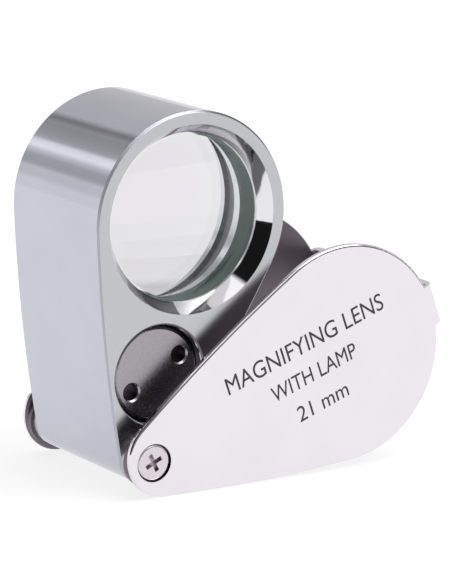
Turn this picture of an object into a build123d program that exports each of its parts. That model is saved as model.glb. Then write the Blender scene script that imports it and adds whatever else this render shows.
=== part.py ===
"""Folding pocket loupe with a lamp: a teardrop lens housing that swings inside a folded sheet cover.

Millimetres, +Z up, -Y is the front.  The loupe stands on the lower edges of its cover, and the
origin is under the middle of its bounding box.  The housing and the cover are both drawn along
an axis that leaves the pivot at a tilt, so "along" is the distance from the pivot on that axis,
"across" is to its right as seen from the front, and a depth is measured from the housing's
front face towards the back.
"""
from build123d import *
from math import cos, radians, sin, sqrt
import os

# ---------------------------------------------------------------- driving dimensions
PIVOT_X = -17.76
PIVOT_Z = 4.41
HOUSING_TILT = 76.6
COVER_TILT = 20.25
FLANK_RADIUS = 200.0

HOUSING_DEPTH = 20.1
HOUSING_SPAN = 28.85
LENS_END_RADIUS = 13.0
PIVOT_END_RADIUS = 3.0
HOUSING_EDGE = 0.25

SHEET = 1.0
SIDE_GAP = 1.8
COVER_TIP_RADIUS = 13.5
COVER_HEEL_RADIUS = 4.84
COVER_HEEL_AT = 1.57
COVER_SPAN = 27.57
COVER_EDGE = 0.32
WEB_REACH = 43.65
WEB_WIDTH = 5.2
WEB_ROOT = 34.0
WEB_BEND = 1.3

LENS_RADIUS = 10.5
LENS_BORE_RADIUS = 10.55
LENS_CLEAR_RADIUS = 10.2
LENS_SEAT = 2.3
LENS_CURVE = 60.0
LENS_THICK = 7.8
LENS_LAND_RADIUS = 9.85
BEVEL_RADIUS = 11.38
BEVEL_DEPTH = 1.9
SPACER_BORE_RADIUS = 9.9
RING_THICK = 1.7

CAP_AT = 10.07
CAP_SUNK = 0.95
CAP_TURNS = 4
CAP_FACE_RADIUS = 5.33
THREAD_ROOT = 6.25
THREAD_CREST = 6.0
THREAD_PITCH = 0.5
THREAD_PLAY = 0.05
THREAD_START = 0.35
THREAD_TURNS = 6
THREAD_END = 3.6
SPANNER_HOLE_AT = 3.8
SPANNER_HOLE_RADIUS = 1.0
SPANNER_HOLE_EDGE = 0.2
SPANNER_HOLE_DEPTH = 0.9
SPANNER_HOLE_TURN = 46.0

WELL_RADIUS = 5.3
WELL_END = 18.3
CELL_RADIUS = 4.75
CELL_THICK = 2.7
CELL_COUNT = 3
CELLS_FROM = 4.5
SLEEVE_RADIUS = 5.25
SLEEVE_BORE_RADIUS = 4.85
BOARD_FROM = 13.7
BOARD_THICK = 0.8
BOARD_RADIUS = 5.2

LAMP_RADIUS = 1.5
LAMP_FLANGE_RADIUS = 1.9
LAMP_FLANGE_THICK = 1.0
LAMP_TIP = 19.7
LAMP_HOLE_RADIUS = 1.6
LAMP_FLARE_RADIUS = 2.7
LAMP_FLARE_DEPTH = 1.1

BUTTON_DEPTH = 16.4
BUTTON_RADIUS = 1.3
BUTTON_PLAY = 0.05
BUTTON_FLANGE_RADIUS = 1.7
BUTTON_FLANGE_SEAT = 5.42
BUTTON_FLANGE_THICK = 0.6
BUTTON_NOSE_RADIUS = 0.7
BUTTON_NOSE_TIP = 4.0
BUTTON_TRAVEL = 0.7
BUTTON_PROUD = 0.9

AXLE_RADIUS = 1.5
AXLE_TAP_RADIUS = 0.8
AXLE_TAP_DEPTH = 5.0
BUSH_BORE_RADIUS = 1.54
BUSH_RADIUS = 2.0
BUSH_LENGTH = 7.0
WASHER_RADIUS = 2.9
WASHER_THICK = 1.0
DISH_RADIUS = 3.2
SCREW_SEAT_RADIUS = 2.32
SCREW_HEAD_RADIUS = 2.15
SCREW_HEAD_SUNK = 0.14
SCREW_SHANK_LENGTH = 4.2
SCREW_FLOOR = 0.9
SCREW_EDGE = 0.25
SHANK_PLAY = 0.1
SHANK_CLEAR = 0.02
CROSS_REACH = 1.15
CROSS_WIDTH = 0.55
CROSS_DEPTH = 0.5
CROSS_TURN = 26.0

# ---------------------------------------------------------------- places worked out from them
FRONT_Y = -HOUSING_DEPTH / 2
PLATE_INNER_Y = HOUSING_DEPTH / 2 + SIDE_GAP
PLATE_OUTER_Y = PLATE_INNER_Y + SHEET
DISH_Y = HOUSING_DEPTH / 2 + WASHER_THICK
SCREW_SEAT_Y = DISH_Y + SCREW_FLOOR
FLANK_SLOPE_SINE = (LENS_END_RADIUS - PIVOT_END_RADIUS) / HOUSING_SPAN


def back_plane(tilt, y=0.0, along=0.0):
    """Plane that faces the back, with its x along a part that leaves the pivot at the tilt."""
    axis = Vector(cos(radians(tilt)), 0, sin(radians(tilt)))
    centre = Vector(PIVOT_X, y, PIVOT_Z) + axis * along
    return Plane(origin=centre, x_dir=axis, z_dir=(0, 1, 0))


def turning_plane(tilt, along=0.0):
    """Plane through a turned part's axis: x is the radius, y the depth from the front face."""
    axis = Vector(cos(radians(tilt)), 0, sin(radians(tilt)))
    centre = Vector(PIVOT_X, FRONT_Y, PIVOT_Z) + axis * along
    return Plane(origin=centre, x_dir=axis, z_dir=(-axis.Z, 0, axis.X))


def turning_axis(plane):
    """The line that a profile on a turning plane is revolved about."""
    return Axis(plane.origin, plane.y_dir)


def teardrop(small_radius, big_radius, small_at, span):
    """Outline of two round ends joined by slightly crowned flanks, from the pivot along x."""
    small = Vector(small_at, 0)
    big = Vector(small_at + span, 0)
    to_small = FLANK_RADIUS - small_radius
    to_big = FLANK_RADIUS - big_radius
    centre_x = small_at + (to_small**2 - to_big**2 + span**2) / (2 * span)
    centre_y = sqrt(to_small**2 - (centre_x - small_at) ** 2)
    ends = []
    with BuildSketch() as outline:
        with BuildLine():
            for side in (1, -1):
                centre = Vector(centre_x, -side * centre_y)
                start, middle, end = [
                    centre + (point - centre).normalized() * FLANK_RADIUS
                    for point in (small, (small + big) / 2, big)
                ]
                ThreePointArc(start, middle, end)
                ends.append((start, end))
            ThreePointArc(ends[0][0], small - Vector(small_radius, 0), ends[1][0])
            ThreePointArc(ends[0][1], big + Vector(big_radius, 0), ends[1][1])
        make_face()
    return outline.sketch


def turned(*points):
    """Half section of a turned part, given as (radius, depth) corners."""
    with BuildSketch() as section:
        with BuildLine():
            Polyline(*points, close=True)
        make_face()
    return section.sketch


def thread_corners(start, turns, play=0.0):
    """Zigzag (radius, depth) corners of a thread drawn as rings, from its first crest."""
    corners = []
    for turn in range(turns):
        depth = start + turn * THREAD_PITCH
        corners.append((THREAD_CREST - play, depth))
        corners.append((THREAD_ROOT - play, depth + THREAD_PITCH / 2))
    corners.append((THREAD_CREST - play, start + turns * THREAD_PITCH))
    return corners


def bulge(out_to=LENS_LAND_RADIUS):
    """How far a lens surface drops between its middle and a distance from the axis."""
    return LENS_CURVE - sqrt(LENS_CURVE**2 - out_to**2)


def lens_section(front_edge):
    """Half section of a biconvex lens with a flat land, whose rim starts at a depth."""
    front = front_edge - bulge()
    back = front + LENS_THICK
    back_edge = back - bulge()
    half = LENS_LAND_RADIUS / 2
    with BuildSketch() as section:
        with BuildLine():
            Line((0, back), (0, front))
            ThreePointArc((0, front), (half, front + bulge(half)), (LENS_LAND_RADIUS, front_edge))
            Line((LENS_LAND_RADIUS, front_edge), (LENS_RADIUS, front_edge))
            Line((LENS_RADIUS, front_edge), (LENS_RADIUS, back_edge))
            Line((LENS_RADIUS, back_edge), (LENS_LAND_RADIUS, back_edge))
            ThreePointArc((LENS_LAND_RADIUS, back_edge), (half, back - bulge(half)), (0, back))
        make_face()
    return section.sketch


def flank_distance():
    """Distance from the battery well's axis to the housing's flank, square to the flank."""
    to_small = FLANK_RADIUS - PIVOT_END_RADIUS
    to_big = FLANK_RADIUS - LENS_END_RADIUS
    centre_x = (to_small**2 - to_big**2 + HOUSING_SPAN**2) / (2 * HOUSING_SPAN)
    centre = Vector(centre_x, -sqrt(to_small**2 - centre_x**2))
    return FLANK_RADIUS - (Vector(CAP_AT, 0) - centre).length


def button_plane(distance=0.0):
    """Plane across the button's stroke, at a distance from the well's axis, facing outwards."""
    well = back_plane(HOUSING_TILT, FRONT_Y + BUTTON_DEPTH, CAP_AT)
    rise = sqrt(1 - FLANK_SLOPE_SINE**2)
    outwards = well.y_dir * rise - well.x_dir * FLANK_SLOPE_SINE
    return Plane(origin=well.origin + outwards * distance, x_dir=(0, 1, 0), z_dir=outwards)


# ---------------------------------------------------------------- housing
FLANK = flank_distance()
LENS_EDGE = LENS_THICK - 2 * bulge()
REAR_LENS_EDGE_END = HOUSING_DEPTH - BEVEL_DEPTH - RING_THICK
LENS_AXIS_PLANE = turning_plane(HOUSING_TILT, HOUSING_SPAN)
CAP_AXIS_PLANE = turning_plane(HOUSING_TILT, CAP_AT)

with BuildPart() as housing:
    with BuildSketch(back_plane(HOUSING_TILT, FRONT_Y)):
        add(teardrop(PIVOT_END_RADIUS, LENS_END_RADIUS, 0, HOUSING_SPAN))
    extrude(amount=HOUSING_DEPTH)
    rims = housing.faces().filter_by(Axis.Y).edges()
    chamfer(rims, HOUSING_EDGE)
    # lens bore: a polished bevel at each face, a lip in front, and the seat behind it
    with BuildSketch(LENS_AXIS_PLANE):
        add(
            turned(
                (0, 0),
                (BEVEL_RADIUS, 0),
                (LENS_CLEAR_RADIUS, BEVEL_DEPTH),
                (LENS_CLEAR_RADIUS, LENS_SEAT),
                (LENS_BORE_RADIUS, LENS_SEAT),
                (LENS_BORE_RADIUS, HOUSING_DEPTH - BEVEL_DEPTH),
                (BEVEL_RADIUS, HOUSING_DEPTH),
                (0, HOUSING_DEPTH),
            )
        )
    revolve(axis=turning_axis(LENS_AXIS_PLANE), mode=Mode.SUBTRACT)
    # battery well: a lead-in, the cap's thread, then the plain well and the lamp's hole
    with BuildSketch(CAP_AXIS_PLANE):
        add(
            turned(
                (0, 0),
                (THREAD_ROOT, 0),
                *thread_corners(THREAD_START, THREAD_TURNS),
                (THREAD_CREST, THREAD_END),
                (WELL_RADIUS, THREAD_END),
                (WELL_RADIUS, WELL_END),
                (LAMP_HOLE_RADIUS, WELL_END),
                (LAMP_HOLE_RADIUS, HOUSING_DEPTH - LAMP_FLARE_DEPTH),
                (LAMP_FLARE_RADIUS, HOUSING_DEPTH),
                (0, HOUSING_DEPTH),
            )
        )
    revolve(axis=turning_axis(CAP_AXIS_PLANE), mode=Mode.SUBTRACT)
    # button guide, and the pocket that its flange stops in
    with BuildSketch(button_plane()):
        Circle(BUTTON_RADIUS + BUTTON_PLAY)
    extrude(amount=FLANK + BUTTON_PROUD, mode=Mode.SUBTRACT)
    with BuildSketch(button_plane()):
        Circle(BUTTON_FLANGE_RADIUS + BUTTON_PLAY)
    extrude(amount=BUTTON_FLANGE_SEAT + BUTTON_PLAY, mode=Mode.SUBTRACT)
    # pivot bore, which takes a bush at each end
    with BuildSketch(back_plane(HOUSING_TILT, FRONT_Y)):
        Circle(BUSH_RADIUS)
    extrude(amount=HOUSING_DEPTH, mode=Mode.SUBTRACT)
housing.part.label = "housing"

bush_from = {"front_pivot_bush": FRONT_Y, "back_pivot_bush": -FRONT_Y - BUSH_LENGTH}
bushes = {}
for bush_name, bush_y in bush_from.items():
    with BuildPart() as pivot_bush:
        with BuildSketch(back_plane(HOUSING_TILT, bush_y)):
            Circle(BUSH_RADIUS)
            Circle(BUSH_BORE_RADIUS, mode=Mode.SUBTRACT)
        extrude(amount=BUSH_LENGTH)
    pivot_bush.part.label = bush_name
    bushes[bush_name] = pivot_bush.part

# ---------------------------------------------------------------- optics
with BuildPart() as front_lens:
    with BuildSketch(LENS_AXIS_PLANE):
        add(lens_section(LENS_SEAT))
    revolve(axis=turning_axis(LENS_AXIS_PLANE))
front_lens.part.label = "front_lens"

with BuildPart() as rear_lens:
    with BuildSketch(LENS_AXIS_PLANE):
        add(lens_section(REAR_LENS_EDGE_END - LENS_EDGE))
    revolve(axis=turning_axis(LENS_AXIS_PLANE))
rear_lens.part.label = "rear_lens"

with BuildPart() as lens_spacer:
    with BuildSketch(back_plane(HOUSING_TILT, FRONT_Y + LENS_SEAT + LENS_EDGE, HOUSING_SPAN)):
        Circle(LENS_RADIUS)
        Circle(SPACER_BORE_RADIUS, mode=Mode.SUBTRACT)
    extrude(amount=REAR_LENS_EDGE_END - LENS_SEAT - 2 * LENS_EDGE)
lens_spacer.part.label = "lens_spacer"

RING_SLOT_WIDTH = 1.2
RING_SLOT_DEPTH = 0.7
with BuildPart() as lens_retaining_ring:
    with BuildSketch(back_plane(HOUSING_TILT, FRONT_Y + REAR_LENS_EDGE_END, HOUSING_SPAN)):
        Circle(LENS_RADIUS)
        Circle(SPACER_BORE_RADIUS, mode=Mode.SUBTRACT)
    extrude(amount=RING_THICK)
    with BuildSketch(
        back_plane(HOUSING_TILT, FRONT_Y + HOUSING_DEPTH - BEVEL_DEPTH, HOUSING_SPAN)
    ):
        Rectangle(2 * LENS_BORE_RADIUS, RING_SLOT_WIDTH)
    extrude(amount=-RING_SLOT_DEPTH, mode=Mode.SUBTRACT)
lens_retaining_ring.part.label = "lens_retaining_ring"

# ---------------------------------------------------------------- battery and lamp
CAP_THREAD_FROM = THREAD_START + 2 * THREAD_PITCH
CAP_BACK = CAP_THREAD_FROM + CAP_TURNS * THREAD_PITCH
CAP_FACE = back_plane(HOUSING_TILT, FRONT_Y + CAP_SUNK, CAP_AT)
with BuildPart() as battery_cap:
    with BuildSketch(CAP_AXIS_PLANE):
        add(
            turned(
                (0, CAP_SUNK),
                (CAP_FACE_RADIUS, CAP_SUNK),
                *thread_corners(CAP_THREAD_FROM, CAP_TURNS, THREAD_PLAY),
                (0, CAP_BACK),
            )
        )
    revolve(axis=turning_axis(CAP_AXIS_PLANE))
    with BuildSketch(CAP_FACE):
        with PolarLocations(SPANNER_HOLE_AT, 2, start_angle=SPANNER_HOLE_TURN):
            Circle(SPANNER_HOLE_RADIUS)
    extrude(amount=SPANNER_HOLE_DEPTH, mode=Mode.SUBTRACT)
    front_edges = battery_cap.faces().sort_by(Axis.Y).first.inner_wires().edges()
    chamfer(front_edges, SPANNER_HOLE_EDGE)
battery_cap.part.label = "battery_cap"

with BuildPart() as battery_sleeve:
    with BuildSketch(back_plane(HOUSING_TILT, FRONT_Y + THREAD_END, CAP_AT)):
        Circle(SLEEVE_RADIUS)
        Circle(SLEEVE_BORE_RADIUS, mode=Mode.SUBTRACT)
    extrude(amount=BOARD_FROM - THREAD_END)
battery_sleeve.part.label = "battery_sleeve"

CELL_CAN_LIP = 0.35
CELL_BUTTON_RADIUS = 3.9
cells = []
for index in range(CELL_COUNT):
    cell_front = CELLS_FROM + index * CELL_THICK
    with BuildPart() as button_cell:
        with BuildSketch(CAP_AXIS_PLANE):
            add(
                turned(
                    (0, cell_front),
                    (CELL_BUTTON_RADIUS, cell_front),
                    (CELL_BUTTON_RADIUS, cell_front + CELL_CAN_LIP),
                    (CELL_RADIUS, cell_front + CELL_CAN_LIP),
                    (CELL_RADIUS, cell_front + CELL_THICK),
                    (0, cell_front + CELL_THICK),
                )
            )
        revolve(axis=turning_axis(CAP_AXIS_PLANE))
    button_cell.part.label = f"button_cell_{index + 1}"
    cells.append(button_cell.part)

SPRING_WIRE = 0.2
SPRING_TOP_RADIUS = 2.0
SPRING_TURNS = 2.5
CELLS_TO = CELLS_FROM + CELL_COUNT * CELL_THICK
spring_spans = {"cap_spring": (CAP_BACK, CELLS_FROM), "board_spring": (CELLS_TO, BOARD_FROM)}
springs = {}
for spring_name, (spring_from, spring_to) in spring_spans.items():
    free_height = spring_to - spring_from - 2 * SPRING_WIRE
    spring_plane = back_plane(HOUSING_TILT, FRONT_Y + spring_from + SPRING_WIRE, CAP_AT)
    with BuildPart() as contact_spring:
        with BuildLine(spring_plane):
            coil = Helix(free_height / SPRING_TURNS, free_height, SPRING_TOP_RADIUS)
        with BuildSketch(Plane(origin=coil @ 0, z_dir=coil % 0)):
            Circle(SPRING_WIRE)
        sweep()
    contact_spring.part.label = spring_name
    springs[spring_name] = contact_spring.part

with BuildPart() as lamp_board:
    with BuildSketch(back_plane(HOUSING_TILT, FRONT_Y + BOARD_FROM, CAP_AT)):
        Circle(BOARD_RADIUS)
    extrude(amount=BOARD_THICK)
lamp_board.part.label = "lamp_board"

BOARD_BACK = BOARD_FROM + BOARD_THICK
with BuildPart() as lamp:
    with BuildSketch(CAP_AXIS_PLANE):
        with BuildLine():
            Line((0, BOARD_BACK), (LAMP_FLANGE_RADIUS, BOARD_BACK))
            Line((LAMP_FLANGE_RADIUS, BOARD_BACK), (LAMP_FLANGE_RADIUS, BOARD_BACK + LAMP_FLANGE_THICK))
            Line(
                (LAMP_FLANGE_RADIUS, BOARD_BACK + LAMP_FLANGE_THICK),
                (LAMP_RADIUS, BOARD_BACK + LAMP_FLANGE_THICK),
            )
            Line((LAMP_RADIUS, BOARD_BACK + LAMP_FLANGE_THICK), (LAMP_RADIUS, LAMP_TIP - LAMP_RADIUS))
            RadiusArc((LAMP_RADIUS, LAMP_TIP - LAMP_RADIUS), (0, LAMP_TIP), -LAMP_RADIUS)
            Line((0, LAMP_TIP), (0, BOARD_BACK))
        make_face()
    revolve(axis=turning_axis(CAP_AXIS_PLANE))
lamp.part.label = "lamp"

LEAF_THICK = 0.25
LEAF_WIDTH = 2.4
LEAF_HEIGHT = 3.2
LEAF_GAP = 0.02
LEAF_FACE = BUTTON_NOSE_TIP - BUTTON_TRAVEL - LEAF_GAP
leaf_plane = button_plane(LEAF_FACE)
with BuildPart() as switch_leaf:
    with BuildSketch(leaf_plane):
        with Locations((BOARD_BACK + LEAF_HEIGHT / 2 - BUTTON_DEPTH, 0)):
            Rectangle(LEAF_HEIGHT, LEAF_WIDTH)
    extrude(amount=-LEAF_THICK)
switch_leaf.part.label = "switch_leaf"

BUTTON_CROWN = 0.25
with BuildPart() as switch_button:
    with BuildSketch(button_plane(BUTTON_NOSE_TIP)):
        Circle(BUTTON_NOSE_RADIUS)
    extrude(amount=BUTTON_FLANGE_SEAT - BUTTON_NOSE_TIP)
    with BuildSketch(button_plane(BUTTON_FLANGE_SEAT - BUTTON_FLANGE_THICK)):
        Circle(BUTTON_FLANGE_RADIUS)
    extrude(amount=BUTTON_FLANGE_THICK)
    with BuildSketch(button_plane(BUTTON_FLANGE_SEAT)):
        Circle(BUTTON_RADIUS)
    extrude(amount=FLANK + BUTTON_PROUD - BUTTON_FLANGE_SEAT)
    outermost = switch_button.faces().sort_by(Axis(CAP_FACE.origin, button_plane().z_dir)).last
    fillet(outermost.edges(), BUTTON_CROWN)
switch_button.part.label = "switch_button"

# ---------------------------------------------------------------- cover
WEB_PLANE = Plane(
    origin=back_plane(COVER_TILT).origin,
    x_dir=back_plane(COVER_TILT).x_dir,
    z_dir=-back_plane(COVER_TILT).y_dir,
)
with BuildPart() as cover_shell:
    with BuildSketch(back_plane(COVER_TILT, -PLATE_OUTER_Y)):
        add(teardrop(COVER_HEEL_RADIUS, COVER_TIP_RADIUS, COVER_HEEL_AT, COVER_SPAN))
    extrude(amount=SHEET)
    fillet(cover_shell.faces().filter_by(Axis.Y).edges(), COVER_EDGE)
    # dish that carries the screw: it stands in from the plate and touches the washer
    with BuildSketch(back_plane(COVER_TILT, -PLATE_INNER_Y)):
        Circle(DISH_RADIUS)
    extrude(amount=PLATE_INNER_Y - DISH_Y)
    with BuildSketch(back_plane(COVER_TILT, -SCREW_SEAT_Y)):
        Circle(SCREW_SEAT_RADIUS)
    extrude(amount=SCREW_SEAT_Y - PLATE_OUTER_Y, mode=Mode.SUBTRACT)
    with BuildSketch(back_plane(COVER_TILT, -SCREW_SEAT_Y)):
        Circle(AXLE_TAP_RADIUS + SHANK_PLAY)
    extrude(amount=SCREW_FLOOR, mode=Mode.SUBTRACT)
    mirror(about=Plane.XZ)
    # web that joins the two plates at the tip, bent out of the same sheet
    with BuildSketch(WEB_PLANE):
        with Locations(((WEB_ROOT + WEB_REACH) / 2, 0)):
            outer = Rectangle(WEB_REACH - WEB_ROOT, 2 * PLATE_OUTER_Y)
        fillet(outer.vertices().group_by(Axis.X)[-1], WEB_BEND)
        with Locations(((WEB_REACH - SHEET) / 2, 0)):
            RectangleRounded(
                WEB_REACH - SHEET, 2 * PLATE_INNER_Y, WEB_BEND - SHEET, mode=Mode.SUBTRACT
            )
    extrude(amount=WEB_WIDTH / 2, both=True)
cover_shell.part.label = "cover_shell"

# ---------------------------------------------------------------- pivot
with BuildPart() as pivot_axle:
    with BuildSketch(back_plane(COVER_TILT, -DISH_Y)):
        Circle(AXLE_RADIUS)
    extrude(amount=2 * DISH_Y)
    with Locations(Plane(origin=(PIVOT_X, -DISH_Y, PIVOT_Z), z_dir=(0, -1, 0))):
        Hole(AXLE_TAP_RADIUS, AXLE_TAP_DEPTH)
    with Locations(Plane(origin=(PIVOT_X, DISH_Y, PIVOT_Z), z_dir=(0, 1, 0))):
        Hole(AXLE_TAP_RADIUS, AXLE_TAP_DEPTH)
pivot_axle.part.label = "pivot_axle"

with BuildPart() as front_pivot_screw:
    with BuildSketch(back_plane(COVER_TILT, -PLATE_OUTER_Y + SCREW_HEAD_SUNK)):
        Circle(SCREW_HEAD_RADIUS)
    extrude(amount=PLATE_OUTER_Y - SCREW_HEAD_SUNK - SCREW_SEAT_Y)
    fillet(front_pivot_screw.edges().group_by(Axis.Y)[0], SCREW_EDGE)
    with BuildSketch(back_plane(COVER_TILT, -SCREW_SEAT_Y)):
        Circle(AXLE_TAP_RADIUS - SHANK_CLEAR)
    extrude(amount=SCREW_SHANK_LENGTH)
    with BuildSketch(back_plane(CROSS_TURN, -PLATE_OUTER_Y + SCREW_HEAD_SUNK)):
        Rectangle(2 * CROSS_REACH, CROSS_WIDTH)
        Rectangle(CROSS_WIDTH, 2 * CROSS_REACH)
    extrude(amount=CROSS_DEPTH, mode=Mode.SUBTRACT)
front_pivot_screw.part.label = "front_pivot_screw"

with BuildPart() as back_pivot_screw:
    mirror(front_pivot_screw.part, about=Plane.XZ)
back_pivot_screw.part.label = "back_pivot_screw"

washer_from = {"front_pivot_washer": -DISH_Y, "back_pivot_washer": HOUSING_DEPTH / 2}
washers = {}
for washer_name, washer_y in washer_from.items():
    with BuildPart() as pivot_washer:
        with BuildSketch(back_plane(COVER_TILT, washer_y)):
            Circle(WASHER_RADIUS)
            Circle(BUSH_BORE_RADIUS, mode=Mode.SUBTRACT)
        extrude(amount=WASHER_THICK)
    pivot_washer.part.label = washer_name
    washers[washer_name] = pivot_washer.part

# ---------------------------------------------------------------- export
os.makedirs("parts", exist_ok=True)
export_step(housing.part, "parts/housing.step")
export_step(front_lens.part, "parts/front_lens.step")
export_step(rear_lens.part, "parts/rear_lens.step")
export_step(lens_spacer.part, "parts/lens_spacer.step")
export_step(lens_retaining_ring.part, "parts/lens_retaining_ring.step")
export_step(battery_cap.part, "parts/battery_cap.step")
export_step(battery_sleeve.part, "parts/battery_sleeve.step")
export_step(lamp_board.part, "parts/lamp_board.step")
export_step(lamp.part, "parts/lamp.step")
export_step(switch_leaf.part, "parts/switch_leaf.step")
export_step(switch_button.part, "parts/switch_button.step")
export_step(cover_shell.part, "parts/cover_shell.step")
export_step(pivot_axle.part, "parts/pivot_axle.step")
export_step(front_pivot_screw.part, "parts/front_pivot_screw.step")
export_step(back_pivot_screw.part, "parts/back_pivot_screw.step")
for repeated in [*bushes.values(), *cells, *springs.values(), *washers.values()]:
    export_step(repeated, f"parts/{repeated.label}.step")
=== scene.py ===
"""Folding pocket loupe with a lamp, standing on the edges of its open cover in a white studio.

Metres, in the CAD model's frame: +Z up, -Y is the front, and the origin is under the middle of
the object.  The CAD nodes keep their meshes and get materials here.
"""
from math import cos, pi, radians, sin, sqrt

import bmesh
import bpy
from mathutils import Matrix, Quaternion, Vector

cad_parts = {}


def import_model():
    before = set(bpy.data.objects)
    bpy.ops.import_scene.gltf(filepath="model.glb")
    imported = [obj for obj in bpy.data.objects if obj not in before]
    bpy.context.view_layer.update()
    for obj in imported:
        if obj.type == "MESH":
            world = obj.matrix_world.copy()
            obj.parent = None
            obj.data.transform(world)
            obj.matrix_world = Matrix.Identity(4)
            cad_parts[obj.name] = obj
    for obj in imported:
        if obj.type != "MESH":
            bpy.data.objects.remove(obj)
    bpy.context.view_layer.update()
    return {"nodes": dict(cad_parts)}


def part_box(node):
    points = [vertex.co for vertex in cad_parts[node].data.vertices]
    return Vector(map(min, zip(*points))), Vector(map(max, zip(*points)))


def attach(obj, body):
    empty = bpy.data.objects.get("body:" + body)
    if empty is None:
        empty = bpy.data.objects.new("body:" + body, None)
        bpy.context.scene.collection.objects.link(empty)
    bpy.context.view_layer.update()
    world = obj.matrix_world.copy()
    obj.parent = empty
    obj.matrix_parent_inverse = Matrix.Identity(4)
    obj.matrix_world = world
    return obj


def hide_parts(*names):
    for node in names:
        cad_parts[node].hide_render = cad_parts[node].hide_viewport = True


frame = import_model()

MM = 0.001
nodes = frame["nodes"]

# ---------------------------------------------------------------- places, read from the frame


def middle(node):
    """Middle of a CAD node's box."""
    low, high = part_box(node)
    return (Vector(low) + Vector(high)) / 2


def front_of(node):
    """Y of a CAD node's frontmost point."""
    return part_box(node)[0][1]


def add_object(name, data):
    """An object of the scene that shows a mesh, a curve, a light or a camera."""
    obj = bpy.data.objects.new(name, data)
    bpy.context.scene.collection.objects.link(obj)
    return obj


PIVOT = middle("pivot_axle")
LENS_CENTRE = middle("lens_spacer")
CAP_CENTRE = middle("battery_cap")
FRONT_PLATE_Y = front_of("cover_shell")
COVER_TILT = radians(20.25)
COVER_AXIS = Vector((cos(COVER_TILT), 0, sin(COVER_TILT)))
COVER_UPWARDS = Vector((-COVER_AXIS.z, 0, COVER_AXIS.x))

# ---------------------------------------------------------------- node helpers
# most of a noise texture's values lie between these two
NOISE_LOW = 0.3
NOISE_HIGH = 0.7
NOISE_ROUGHNESS = 0.6
FINE_DETAIL = 4.0
SOFT_DETAIL = 2.0
CLOUD_SCALE = 120.0
EVEN = (1, 1, 1)


def add_node(tree, kind, inputs=None, **settings):
    """A node with its settings and its input values."""
    node = tree.nodes.new(kind)
    for key, value in settings.items():
        setattr(node, key, value)
    for key, value in (inputs or {}).items():
        node.inputs[key].default_value = value
    return node


def feed(tree, socket, value):
    """Gives a socket a number, a colour or another socket."""
    if isinstance(value, (int, float)):
        socket.default_value = value
    elif isinstance(value, tuple):
        socket.default_value = (*value, 1.0)
    else:
        tree.links.new(value, socket)


def grey(level):
    """A colour with no hue."""
    return (level, level, level)


def ramp(tree, source, stops):
    """A colour ramp with (position, colour) stops, fed by a socket."""
    node = tree.nodes.new("ShaderNodeValToRGB")
    elements = node.color_ramp.elements
    while len(elements) < len(stops):
        elements.new(1.0)
    for element, (position, colour) in zip(elements, stops):
        element.position = position
        element.color = (*colour, 1.0)
    tree.links.new(source, node.inputs["Fac"])
    return node.outputs["Color"]


def drift(tree, source, dark, light):
    """A colour that drifts from dark to light with a noise socket."""
    return ramp(tree, source, [(NOISE_LOW, dark), (NOISE_HIGH, light)])


def noise(tree, scale, stretch=EVEN, detail=FINE_DETAIL):
    """Noise over the object, squeezed or drawn out along its axes."""
    place = add_node(tree, "ShaderNodeTexCoord")
    mapping = add_node(tree, "ShaderNodeMapping", {"Scale": stretch})
    values = {"Scale": scale, "Detail": detail, "Roughness": NOISE_ROUGHNESS}
    texture = add_node(tree, "ShaderNodeTexNoise", values)
    tree.links.new(place.outputs["Object"], mapping.inputs["Vector"])
    tree.links.new(mapping.outputs["Vector"], texture.inputs["Vector"])
    return texture.outputs["Fac"]


def cloud(tree):
    """Wide, soft noise for slow changes of colour."""
    return noise(tree, CLOUD_SCALE, detail=SOFT_DETAIL)


def remap(tree, source, low, high, from_low=NOISE_LOW, from_high=NOISE_HIGH, blend="LINEAR"):
    """A socket's value brought from one range to another."""
    values = {"From Min": from_low, "From Max": from_high, "To Min": low, "To Max": high}
    node = add_node(tree, "ShaderNodeMapRange", values, interpolation_type=blend)
    tree.links.new(source, node.inputs["Value"])
    return node.outputs["Result"]


def compute(tree, operation, *values):
    """One maths node: its inputs are sockets or numbers."""
    node = add_node(tree, "ShaderNodeMath", operation=operation)
    for socket, value in zip(node.inputs, values):
        feed(tree, socket, value)
    return node.outputs["Value"]


def blend_values(tree, share, first, second):
    """A number between two, the first where the share is 0; each is a socket or a number."""
    node = add_node(tree, "ShaderNodeMix")
    for key, value in (("Factor", share), ("A", first), ("B", second)):
        feed(tree, node.inputs[key], value)
    return node.outputs["Result"]


def blend_colours(tree, share, first, second):
    """A colour between two, the first where the share is 0; each is a socket or a colour."""
    node = add_node(tree, "ShaderNodeMix", data_type="RGBA")
    for key, value in (("Factor", share), ("A", first), ("B", second)):
        feed(tree, node.inputs[key], value)
    return node.outputs["Result"]


# ---------------------------------------------------------------- where on the object a point is


def place_parts(tree, space="Object"):
    """X, Y and Z of the surface point in the CAD frame, or of a direction with "Generated"."""
    place = add_node(tree, "ShaderNodeTexCoord")
    parts = add_node(tree, "ShaderNodeSeparateXYZ")
    tree.links.new(place.outputs[space], parts.inputs["Vector"])
    return parts.outputs["X"], parts.outputs["Y"], parts.outputs["Z"]


def beyond_depth(tree, depth):
    """1 where the point is further than a depth from the object's middle plane, else 0."""
    _, y, _ = place_parts(tree)
    return compute(tree, "GREATER_THAN", compute(tree, "ABSOLUTE", y), depth)


def distance_along(tree, start, direction):
    """Distance of the surface point from a start point in a direction that has no Y part."""
    x, _, z = place_parts(tree)
    sideways = compute(tree, "MULTIPLY", compute(tree, "SUBTRACT", x, start.x), direction.x)
    upwards = compute(tree, "MULTIPLY", compute(tree, "SUBTRACT", z, start.z), direction.z)
    return compute(tree, "ADD", sideways, upwards)


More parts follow.
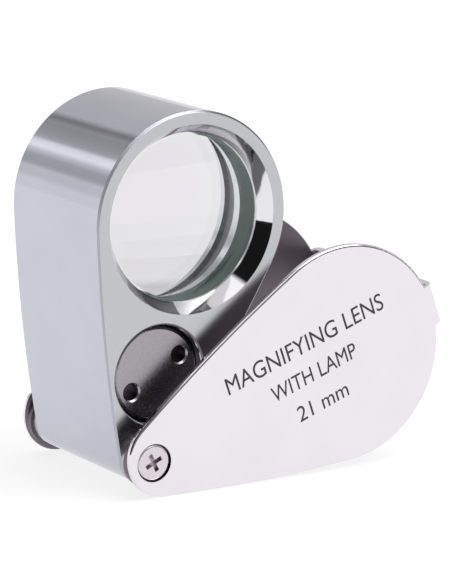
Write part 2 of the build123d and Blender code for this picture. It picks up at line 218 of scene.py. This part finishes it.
def distance_from_axis(tree, centre):
    """Distance of the surface point from a line along Y through a point."""
    x, _, z = place_parts(tree)
    sideways = compute(tree, "SUBTRACT", x, centre.x)
    upwards = compute(tree, "SUBTRACT", z, centre.z)
    squares = [compute(tree, "MULTIPLY", part, part) for part in (sideways, upwards)]
    return compute(tree, "SQRT", compute(tree, "ADD", *squares))


# ---------------------------------------------------------------- material helpers
PLASTIC_GRAIN = 900.0
PLASTIC_RELIEF = 0.01 * MM
PLASTIC_BUMP = 0.5
MATT_ROUGHNESS = 0.5


def new_shader(name, values=None):
    """A material with one Principled shader: the material, its tree and the shader's inputs."""
    material = bpy.data.materials.new(name)
    material.use_nodes = True
    tree = material.node_tree
    tree.nodes.clear()
    output = add_node(tree, "ShaderNodeOutputMaterial")
    shader = add_node(tree, "ShaderNodeBsdfPrincipled", values)
    tree.links.new(shader.outputs["BSDF"], output.inputs["Surface"])
    return material, tree, shader.inputs


def new_metal(name):
    """A material with one metallic shader."""
    return new_shader(name, {"Metallic": 1.0})


def dress(tree, inputs, colour, roughness, height, relief, strength=1.0):
    """Feeds a shader its colour and roughness, and bumps it by a height socket."""
    feed(tree, inputs["Base Color"], colour)
    feed(tree, inputs["Roughness"], roughness)
    bump = add_node(tree, "ShaderNodeBump", {"Strength": strength, "Distance": relief})
    tree.links.new(height, bump.inputs["Height"])
    tree.links.new(bump.outputs["Normal"], inputs["Normal"])


def metal(name, dark, light, rough, grain_scale, relief, stretch=EVEN):
    """Turned or plated metal: its roughness follows a grain, and its colour drifts slowly."""
    material, tree, inputs = new_metal(name)
    grain = noise(tree, grain_scale, stretch)
    colour = drift(tree, cloud(tree), dark, light)
    dress(tree, inputs, colour, remap(tree, grain, *rough), grain, relief)
    return material


def plastic(name, dark, light, rough):
    """Moulded plastic with a fine grain."""
    material, tree, inputs = new_shader(name)
    grain = noise(tree, PLASTIC_GRAIN)
    colour = drift(tree, grain, dark, light)
    roughness = remap(tree, grain, *rough)
    dress(tree, inputs, colour, roughness, grain, PLASTIC_RELIEF, PLASTIC_BUMP)
    return material


def matt(name, dark, light, grain_scale, stretch=EVEN):
    """Matt, flat surface whose colour follows a grain."""
    material, tree, inputs = new_shader(name, {"Roughness": MATT_ROUGHNESS})
    feed(tree, inputs["Base Color"], drift(tree, noise(tree, grain_scale, stretch), dark, light))
    return material


# ---------------------------------------------------------------- cover plating
# a surface nearer than this to the cover's front or back is the outside of a plate
PLATE_SKIN = 0.65 * MM
# past this distance from the pivot lies the outside of the web
WEB_OUTSIDE_FROM = 42.9 * MM
COVER_GRAIN = 700.0
COVER_RELIEF = 0.001 * MM
# painted shade: the dark colour of the sheet's inside, where it faces the housing
COVER_INSIDE_SHADE = (0.20, 0.172, 0.20)
COVER_DARK = (0.79, 0.75, 0.80)
COVER_LIGHT = (0.82, 0.78, 0.83)
DULL = (0.42, 0.50)
SMOOTH = (0.05, 0.09)


def cover_chrome_material():
    """Bright plate on the outside of the sheet, and a dull inside whose dark colour is painted
    shade for the gap between the plates and the housing.
    """
    material, tree, inputs = new_metal("cover_chrome")
    on_plate = beyond_depth(tree, abs(FRONT_PLATE_Y) - PLATE_SKIN)
    along = distance_along(tree, PIVOT, COVER_AXIS)
    on_web = compute(tree, "GREATER_THAN", along, WEB_OUTSIDE_FROM)
    outside = compute(tree, "MAXIMUM", on_plate, on_web)
    grain = noise(tree, COVER_GRAIN)
    bright = drift(tree, cloud(tree), COVER_DARK, COVER_LIGHT)
    colour = blend_colours(tree, outside, COVER_INSIDE_SHADE, bright)
    dull = remap(tree, grain, *DULL)
    smooth = remap(tree, grain, *SMOOTH)
    roughness = blend_values(tree, outside, dull, smooth)
    dress(tree, inputs, colour, roughness, grain, COVER_RELIEF)
    return material


# ---------------------------------------------------------------- housing plating
# a surface nearer than this to the housing's front or back is a flat face
FACE_SKIN = 0.02 * MM
# and one nearer than this is the broken edge round it
EDGE_SKIN = 0.24 * MM
BEVEL_REACH = 11.7 * MM
LENS_END_RADIUS = 13.0 * MM
CROWN_SHADE_ANGLE = radians(60)
CROWN_SHADE_TOWARDS = Vector((cos(CROWN_SHADE_ANGLE), 0, sin(CROWN_SHADE_ANGLE)))
# painted shade: shares of the lens end's radius between which the crown is darkened in place of a
# darker reflection, and what it keeps of its colour
CROWN_SHADE_FROM = 0.86
CROWN_SHADE_TO = 0.945
CROWN_SHADE_KEEPS = 0.25
SIDE_DARK = (0.53, 0.53, 0.595)
SIDE_LIGHT = (0.56, 0.56, 0.625)
FACE_COLOUR = (0.535, 0.54, 0.565)
BEVEL_COLOUR = (0.76, 0.75, 0.77)
STREAK_GRAIN = 900.0
STREAK_STRETCH = (1, 0.05, 1)
STREAK_RELIEF = 0.001 * MM
STREAK_ROUGHNESS = (0.045, 0.10)
FACE_ROUGHNESS = 0.25
EDGE_ROUGHNESS = 0.55
BEVEL_ROUGHNESS = 0.05


def side_colour(tree):
    """Colour of the housing's round sides, with painted shade along the crown in place of a darker
    reflection.
    """
    plain = drift(tree, cloud(tree), SIDE_DARK, SIDE_LIGHT)
    towards = distance_along(tree, LENS_CENTRE, CROWN_SHADE_TOWARDS)
    shade_from = CROWN_SHADE_FROM * LENS_END_RADIUS
    shade_to = CROWN_SHADE_TO * LENS_END_RADIUS
    share = remap(tree, towards, 1.0, CROWN_SHADE_KEEPS, shade_from, shade_to)
    return blend_colours(tree, share, grey(0.0), plain)


def housing_chrome_material():
    """Satin plate: fine streaks along the round sides, duller flat faces and a polished bevel."""
    material, tree, inputs = new_metal("housing_chrome")
    face_y = abs(front_of("housing"))
    on_face = beyond_depth(tree, face_y - FACE_SKIN)
    off_face = compute(tree, "SUBTRACT", 1.0, on_face)
    in_bore = compute(tree, "LESS_THAN", distance_from_axis(tree, LENS_CENTRE), BEVEL_REACH)
    on_bevel = compute(tree, "MULTIPLY", in_bore, off_face)
    on_edge = compute(tree, "MULTIPLY", beyond_depth(tree, face_y - EDGE_SKIN), off_face)
    colour = blend_colours(tree, on_face, side_colour(tree), FACE_COLOUR)
    colour = blend_colours(tree, on_bevel, colour, BEVEL_COLOUR)
    streak = noise(tree, STREAK_GRAIN, STREAK_STRETCH)
    roughness = remap(tree, streak, *STREAK_ROUGHNESS)
    roughness = blend_values(tree, on_face, roughness, FACE_ROUGHNESS)
    roughness = blend_values(tree, on_edge, roughness, EDGE_ROUGHNESS)
    roughness = blend_values(tree, on_bevel, roughness, BEVEL_ROUGHNESS)
    dress(tree, inputs, colour, roughness, streak, STREAK_RELIEF)
    return material


# ---------------------------------------------------------------- cap and screws
# past this depth behind the front of the cap or the screw, the metal is in a hole
CAP_SKIN = 0.22 * MM
SCREW_SKIN = 0.3 * MM
CAP_RINGS = 9000.0
CAP_GRAIN = 2600.0
CAP_RELIEF = 0.003 * MM
CAP_ROUGHNESS = (0.22, 0.34)
CAP_DARK = (0.34, 0.32, 0.345)
CAP_LIGHT = (0.42, 0.40, 0.425)
# painted shade: the dark colour of the metal in the cap's holes
CAP_HOLE_SHADE = (0.10, 0.085, 0.10)
SCREW_GRAIN = 1500.0
SCREW_RELIEF = 0.004 * MM
SCREW_ROUGHNESS = (0.18, 0.30)
SCREW_DARK = (0.66, 0.61, 0.64)
SCREW_LIGHT = (0.74, 0.69, 0.72)
# painted shade: the darker colour in the screw's cross and under its head
SCREW_RECESS_SHADE = (0.36, 0.30, 0.34)


def cap_gunmetal_material():
    """Dark nickel with the fine rings of a lathe round the cap's axis, with painted shade in its
    holes.
    """
    material, tree, inputs = new_metal("cap_gunmetal")
    values = {"Scale": CAP_RINGS, "Detail": 3.0}
    rings = add_node(tree, "ShaderNodeTexNoise", values, noise_dimensions="1D")
    tree.links.new(distance_from_axis(tree, CAP_CENTRE), rings.inputs["W"])
    cut = blend_values(tree, 0.5, rings.outputs["Fac"], noise(tree, CAP_GRAIN))
    face = ramp(tree, cut, [(0.35, CAP_DARK), (0.65, CAP_LIGHT)])
    _, y, _ = place_parts(tree)
    painted_hole_shade = compute(tree, "GREATER_THAN", y, front_of("battery_cap") + CAP_SKIN)
    colour = blend_colours(tree, painted_hole_shade, face, CAP_HOLE_SHADE)
    dress(tree, inputs, colour, remap(tree, cut, *CAP_ROUGHNESS), cut, CAP_RELIEF)
    return material


def screw_steel_material():
    """Turned steel with a pinkish cast, with painted shade in the cross and under the head."""
    material, tree, inputs = new_metal("screw_steel")
    on_head = beyond_depth(tree, abs(front_of("front_pivot_screw")) - SCREW_SKIN)
    grain = noise(tree, SCREW_GRAIN)
    face = drift(tree, grain, SCREW_DARK, SCREW_LIGHT)
    colour = blend_colours(tree, on_head, SCREW_RECESS_SHADE, face)
    dress(tree, inputs, colour, remap(tree, grain, *SCREW_ROUGHNESS), grain, SCREW_RELIEF)
    return material


# ---------------------------------------------------------------- glass and lamp
CLEAR = (1.0, 1.0, 1.0, 1.0)
LAMP_CAST = (0.95, 0.95, 0.88, 1.0)
GLASS_CAST = (0.872, 0.864, 0.880, 1.0)
GLASS_DENSITY = 125.0
LAMP_GRAIN = 800.0
LAMP_ROUGHNESS = (0.04, 0.12)


def lens_glass_material():
    """Clear optical glass that takes a little light, most where it travels far in it."""
    clear = {"Base Color": CLEAR, "Roughness": 0.0, "IOR": 1.52, "Transmission Weight": 1.0}
    material, tree, _ = new_shader("lens_glass", clear)
    cast = {"Color": GLASS_CAST, "Density": GLASS_DENSITY}
    absorb = add_node(tree, "ShaderNodeVolumeAbsorption", cast)
    output = tree.get_output_node("ALL")
    tree.links.new(absorb.outputs["Volume"], output.inputs["Volume"])
    return material


def lamp_clear_material():
    """Clear epoxy of the lamp."""
    epoxy = {"Base Color": LAMP_CAST, "IOR": 1.5, "Transmission Weight": 0.85}
    material, tree, inputs = new_shader("lamp_clear", epoxy)
    roughness = remap(tree, noise(tree, LAMP_GRAIN), *LAMP_ROUGHNESS)
    feed(tree, inputs["Roughness"], roughness)
    return material


# ---------------------------------------------------------------- materials of the CAD nodes
# a grain squeezed along the axis that a part was turned on
TURNED = (1, 8, 1)
FINELY_TURNED = (1, 14, 1)

lens_glass = lens_glass_material()
cover_chrome = cover_chrome_material()
housing_chrome = housing_chrome_material()
cap_gunmetal = cap_gunmetal_material()
screw_steel = screw_steel_material()
lamp_clear = lamp_clear_material()
pivot_steel = metal(
    "pivot_steel",
    dark=(0.45, 0.45, 0.46),
    light=(0.60, 0.60, 0.61),
    rough=(0.2, 0.35),
    grain_scale=1500.0,
    relief=0.002 * MM,
    stretch=TURNED,
)
bush_brass = metal(
    "bush_brass",
    dark=(0.62, 0.42, 0.16),
    light=(0.78, 0.56, 0.24),
    rough=(0.2, 0.35),
    grain_scale=1200.0,
    relief=0.002 * MM,
    stretch=TURNED,
)
spacer_aluminium = metal(
    "spacer_aluminium",
    dark=(0.72, 0.77, 0.76),
    light=(0.86, 0.90, 0.89),
    rough=(0.16, 0.3),
    grain_scale=700.0,
    relief=0.004 * MM,
    stretch=FINELY_TURNED,
)
ring_aluminium = metal(
    "ring_aluminium",
    dark=(0.66, 0.69, 0.70),
    light=(0.80, 0.83, 0.84),
    rough=(0.2, 0.3),
    grain_scale=900.0,
    relief=0.002 * MM,
)
contact_metal = metal(
    "contact_metal",
    dark=(0.70, 0.60, 0.36),
    light=(0.83, 0.74, 0.48),
    rough=(0.15, 0.3),
    grain_scale=1500.0,
    relief=0.001 * MM,
)
cell_steel = metal(
    "cell_steel",
    dark=(0.66, 0.66, 0.67),
    light=(0.78, 0.78, 0.79),
    rough=(0.12, 0.22),
    grain_scale=900.0,
    relief=0.001 * MM,
)
sleeve_plastic = plastic("sleeve_plastic", (0.75, 0.75, 0.72), (0.84, 0.84, 0.82), (0.4, 0.55))
board_green = plastic("board_green", (0.01, 0.10, 0.035), (0.02, 0.16, 0.06), (0.25, 0.35))
button_black = plastic("button_black", (0.012, 0.012, 0.013), (0.03, 0.03, 0.032), (0.35, 0.5))

MATERIAL_OF = {
    "cover_shell": cover_chrome,
    "pivot_axle": pivot_steel,
    "front_pivot_screw": screw_steel,
    "back_pivot_screw": screw_steel,
    "front_pivot_washer": pivot_steel,
    "back_pivot_washer": pivot_steel,
    "housing": housing_chrome,
    "front_pivot_bush": bush_brass,
    "back_pivot_bush": bush_brass,
    "front_lens": lens_glass,
    "rear_lens": lens_glass,
    "lens_spacer": spacer_aluminium,
    "lens_retaining_ring": ring_aluminium,
    "battery_cap": cap_gunmetal,
    "cap_spring": contact_metal,
    "board_spring": contact_metal,
    "switch_leaf": contact_metal,
    "battery_sleeve": sleeve_plastic,
    "button_cell_1": cell_steel,
    "button_cell_2": cell_steel,
    "button_cell_3": cell_steel,
    "lamp_board": board_green,
    "lamp": lamp_clear,
    "switch_button": button_black,
}
for node_name, node_material in MATERIAL_OF.items():
    for material_slot in nodes[node_name].material_slots:
        material_slot.material = node_material

# ---------------------------------------------------------------- lenses
LENS_CURVE = 60.0 * MM
LENS_LAND = 9.85 * MM
LENS_SEGMENTS = 160
DOME_STEPS = 24
# a point nearer to the axis than this is on it
ON_AXIS = 0.000001 * MM
EDGE_GRAIN = 900.0
GREENISH = ((0.40, 0.56, 0.48), (0.58, 0.74, 0.66))
PALE = ((0.88, 0.93, 0.94), (0.95, 0.98, 0.99))
front_edge = matt("front_lens_edge", *GREENISH, EDGE_GRAIN, TURNED)
rear_edge = matt("rear_lens_edge", *PALE, EDGE_GRAIN, TURNED)


def bulge_at(radius):
    """How far the lens surface at a radius stands above its land."""
    return sqrt(LENS_CURVE**2 - radius**2) - sqrt(LENS_CURVE**2 - LENS_LAND**2)


def dome(land_y, outwards):
    """(radius, y) points of a lens surface from its land to its middle."""
    points = []
    for step in range(DOME_STEPS + 1):
        radius = LENS_LAND * (1 - step / DOME_STEPS)
        points.append((radius, land_y + outwards * bulge_at(radius)))
    return points


def ring_at(model, radius, y, centre):
    """A ring of points round the line along Y through a point, or one point on that line."""
    if radius < ON_AXIS:
        return [model.verts.new((centre.x, y, centre.z))]
    ring = []
    for step in range(LENS_SEGMENTS):
        turn = 2 * pi * step / LENS_SEGMENTS
        x = centre.x + radius * cos(turn)
        z = centre.z + radius * sin(turn)
        ring.append(model.verts.new((x, y, z)))
    return ring


def join_rings(model, first, second, material_index):
    """A smooth band of faces between two rings, either of which may be one point."""
    for step in range(LENS_SEGMENTS):
        after = (step + 1) % LENS_SEGMENTS
        corners = [first[step % len(first)], first[after % len(first)]]
        corners += [second[after % len(second)], second[step % len(second)]]
        face = model.faces.new(list(dict.fromkeys(corners)))
        face.smooth = True
        face.material_index = material_index


def sharpen(model, ring):
    """Makes the edges of a ring sharp."""
    for step in range(LENS_SEGMENTS):
        edge = model.edges.get((ring[step], ring[(step + 1) % LENS_SEGMENTS]))
        edge.smooth = False


def spun(name, profile, centre, materials, edge_band, sharp_at):
    """A solid turned about the line along Y; the edge band has the second material."""
    model = bmesh.new()
    rings = [ring_at(model, radius, y, centre) for radius, y in profile]
    for index in range(len(rings) - 1):
        join_rings(model, rings[index], rings[index + 1], int(index == edge_band))
    for index in sharp_at:
        sharpen(model, rings[index])
    bmesh.ops.recalc_face_normals(model, faces=model.faces)
    mesh = bpy.data.meshes.new(name)
    model.to_mesh(mesh)
    model.free()
    for material in materials:
        mesh.materials.append(material)
    return add_object(name, mesh)


def glass_lens(node, edge_material):
    """A smooth biconvex lens with a flat land and a ground edge, in place of a CAD lens."""
    low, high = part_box(node)
    rim = (high[0] - low[0]) / 2
    bulge = bulge_at(0)
    front = low[1] + bulge
    back = high[1] - bulge
    front_dome = dome(front, outwards=-1)[::-1]
    back_dome = dome(back, outwards=1)
    profile = front_dome + [(rim, front), (rim, back)] + back_dome
    edge_band = len(front_dome)
    sharp_at = range(edge_band - 1, edge_band + 3)
    materials = [lens_glass, edge_material]
    lens = spun(node + "_glass", profile, middle(node), materials, edge_band, sharp_at)
    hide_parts(node)
    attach(lens, "loupe")


glass_lens("front_lens", front_edge)
glass_lens("rear_lens", rear_edge)

# ---------------------------------------------------------------- marks on the cover
MARK_FROM_PIVOT = 24.0 * MM
MARK_THICK = 0.02 * MM
# the share of a mark's thickness that lies in the plate
MARK_SUNK = 0.1
# (words, distance above the cover's axis, width, height)
MARKS = [
    ("MAGNIFYING LENS", 4.0 * MM, 23.8 * MM, 2.2 * MM),
    ("WITH LAMP", 0.0, 12.8 * MM, 2.0 * MM),
    ("21 mm", -4.0 * MM, 7.6 * MM, 2.0 * MM),
]
INK_GRAIN = 2500.0
mark_ink = matt("mark_ink", (0.02, 0.018, 0.022), (0.06, 0.055, 0.065), INK_GRAIN)


def solid_words(words):
    """Plain words as a mesh that stands up from the XY plane, and the two corners of its box."""
    curve = bpy.data.curves.new("mark_curve", "FONT")
    curve.body = words
    curve.align_x = "CENTER"
    curve.extrude = 0.5
    writer = add_object("mark_writer", curve)
    bpy.context.view_layer.update()
    mesh = bpy.data.meshes.new_from_object(writer)
    bpy.data.objects.remove(writer)
    low = [min(vertex.co[axis] for vertex in mesh.vertices) for axis in range(3)]
    high = [max(vertex.co[axis] for vertex in mesh.vertices) for axis in range(3)]
    return mesh, low, high


def mark(words, above, width, height):
    """One line of plain words as a thin raised mesh on the front plate."""
    mesh, low, high = solid_words(words)
    start = Vector((PIVOT.x, FRONT_PLATE_Y, PIVOT.z))
    centre = start + COVER_AXIS * MARK_FROM_PIVOT + COVER_UPWARDS * above
    forwards = Vector((0, -1, 0))
    for vertex in mesh.vertices:
        along, up, out = [
            (vertex.co[axis] - low[axis]) / (high[axis] - low[axis]) for axis in range(3)
        ]
        place = centre + COVER_AXIS * (along - 0.5) * width + COVER_UPWARDS * (up - 0.5) * height
        vertex.co = place + forwards * (out - MARK_SUNK) * MARK_THICK
    mesh.materials.clear()
    mesh.materials.append(mark_ink)
    obj = add_object("cover_mark_" + words.split()[0].lower(), mesh)
    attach(obj, "cover")


for mark_row in MARKS:
    mark(*mark_row)

# ---------------------------------------------------------------- floor and surroundings
FLOOR_SIZE = 40.0
FLOOR_GLOW = 0.80
FLOOR_DARK = grey(0.24)
FLOOR_LIGHT = grey(0.26)
FLOOR_CLOUDS = 3.0
HORIZON_GREY = 0.98
HORIZON_FROM = 0.08
HORIZON_TO = 0.14
FRONT_GREY = 0.2
# parts of a direction along Y over which one surrounding gives way to the next
BEHIND_FROM = 0.35
BEHIND_TO = 0.55
FRONT_FROM = -0.6
FRONT_TO = -0.4
# (degrees from +X over the top to -X, grey) of the surroundings behind the object and beside it
PANELS_BEHIND = [
    (0, 0.66),
    (87, 0.66),
    (91, 0.46),
    (94, 0.29),
    (97, 0.31),
    (101, 0.45),
    (105, 0.42),
    (112, 0.46),
    (119, 0.52),
    (123, 0.60),
    (127, 1.15),
    (133, 1.30),
    (138, 0.85),
    (144, 0.58),
    (151, 0.54),
    (154, 0.62),
    (157, 0.84),
    (180, 0.80),
]
PANELS_BESIDE = [
    (0, 0.85),
    (48, 0.60),
    (60, 1.20),
    (114, 1.20),
    (119, 0.01),
    (180, 0.01),
]


def floor():
    """A plain pale floor that runs to the horizon."""
    mesh = bpy.data.meshes.new("floor")
    half = FLOOR_SIZE / 2
    corners = [(-half, -half, 0), (half, -half, 0), (half, half, 0), (-half, half, 0)]
    mesh.from_pydata(corners, [], [(0, 1, 2, 3)])
    obj = add_object("floor", mesh)
    glowing = {"Roughness": 0.9, "Emission Strength": FLOOR_GLOW, "Specular IOR Level": 0.0}
    material, tree, inputs = new_shader("floor_white", glowing)
    feed(tree, inputs["Emission Color"], grey(1.0))
    clouds = noise(tree, FLOOR_CLOUDS, detail=SOFT_DETAIL)
    feed(tree, inputs["Base Color"], drift(tree, clouds, FLOOR_DARK, FLOOR_LIGHT))
    mesh.materials.append(material)


def panels(tree, turn, stops):
    """Surroundings from (degrees, grey) stops, by a direction's share of half a turn."""
    return ramp(tree, turn, [(degrees / 180, grey(level)) for degrees, level in stops])


def between(tree, source, low, high):
    """How far a direction's part lies between two values, from 0 to 1, softened at both."""
    return remap(tree, source, 0.0, 1.0, low, high, blend="SMOOTHSTEP")


def world():
    """Studio surroundings: broad pale panels with darker gaps, set by the angle round Y."""
    surround = bpy.data.worlds.new("studio")
    bpy.context.scene.world = surround
    surround.use_nodes = True
    tree = surround.node_tree
    tree.nodes.clear()
    x, y, z = place_parts(tree, "Generated")
    turn = compute(tree, "DIVIDE", compute(tree, "ARCTAN2", z, x), pi)
    raised = between(tree, z, HORIZON_FROM, HORIZON_TO)
    behind = blend_colours(tree, raised, grey(HORIZON_GREY), panels(tree, turn, PANELS_BEHIND))
    beside = panels(tree, turn, PANELS_BESIDE)
    sides = blend_colours(tree, between(tree, y, BEHIND_FROM, BEHIND_TO), beside, behind)
    off_front = between(tree, y, FRONT_FROM, FRONT_TO)
    whole = blend_colours(tree, off_front, grey(FRONT_GREY), sides)
    background = add_node(tree, "ShaderNodeBackground", {"Strength": 1.0})
    output = add_node(tree, "ShaderNodeOutputWorld")
    tree.links.new(whole, background.inputs["Color"])
    tree.links.new(background.outputs["Background"], output.inputs["Surface"])


# ---------------------------------------------------------------- light and camera
KEY_TOWARDS = Vector((0.35, -0.45, 1.0))
KEY_STRENGTH = 1.4
KEY_SPREAD = radians(50)
CAMERA_AZIMUTH = radians(32.89)
CAMERA_ELEVATION = radians(12.34)
CAMERA_ROLL = radians(0.88)
CAMERA_DISTANCE = 407.5 * MM
CAMERA_LENS = 207.9
CAMERA_SENSOR = 36.0
CAMERA_CLIP = 10 * MM
CAMERA_AIM = Vector((-3.0, -4.97, 21.97)) * MM


def key_light():
    """A wide, soft light from the front right, high up."""
    light = bpy.data.lights.new("key", "SUN")
    light.energy = KEY_STRENGTH
    light.angle = KEY_SPREAD
    obj = add_object("key", light)
    obj.rotation_euler = KEY_TOWARDS.to_track_quat("Z", "Y").to_euler()


def camera():
    """A long lens from the front left, a little above."""
    data = bpy.data.cameras.new("camera")
    data.lens = CAMERA_LENS
    data.sensor_width = CAMERA_SENSOR
    data.clip_start = CAMERA_CLIP
    obj = add_object("camera", data)
    level = cos(CAMERA_ELEVATION)
    ahead = (sin(CAMERA_AZIMUTH) * level, cos(CAMERA_AZIMUTH) * level, -sin(CAMERA_ELEVATION))
    forward = Vector(ahead)
    obj.location = CAMERA_AIM - forward * CAMERA_DISTANCE
    obj.rotation_mode = "QUATERNION"
    roll = Quaternion((0, 0, 1), CAMERA_ROLL)
    obj.rotation_quaternion = forward.to_track_quat("-Z", "Y") @ roll
    bpy.context.scene.camera = obj


floor()
world()
camera()
key_light()
bpy.context.scene.view_settings.view_transform = "Standard"
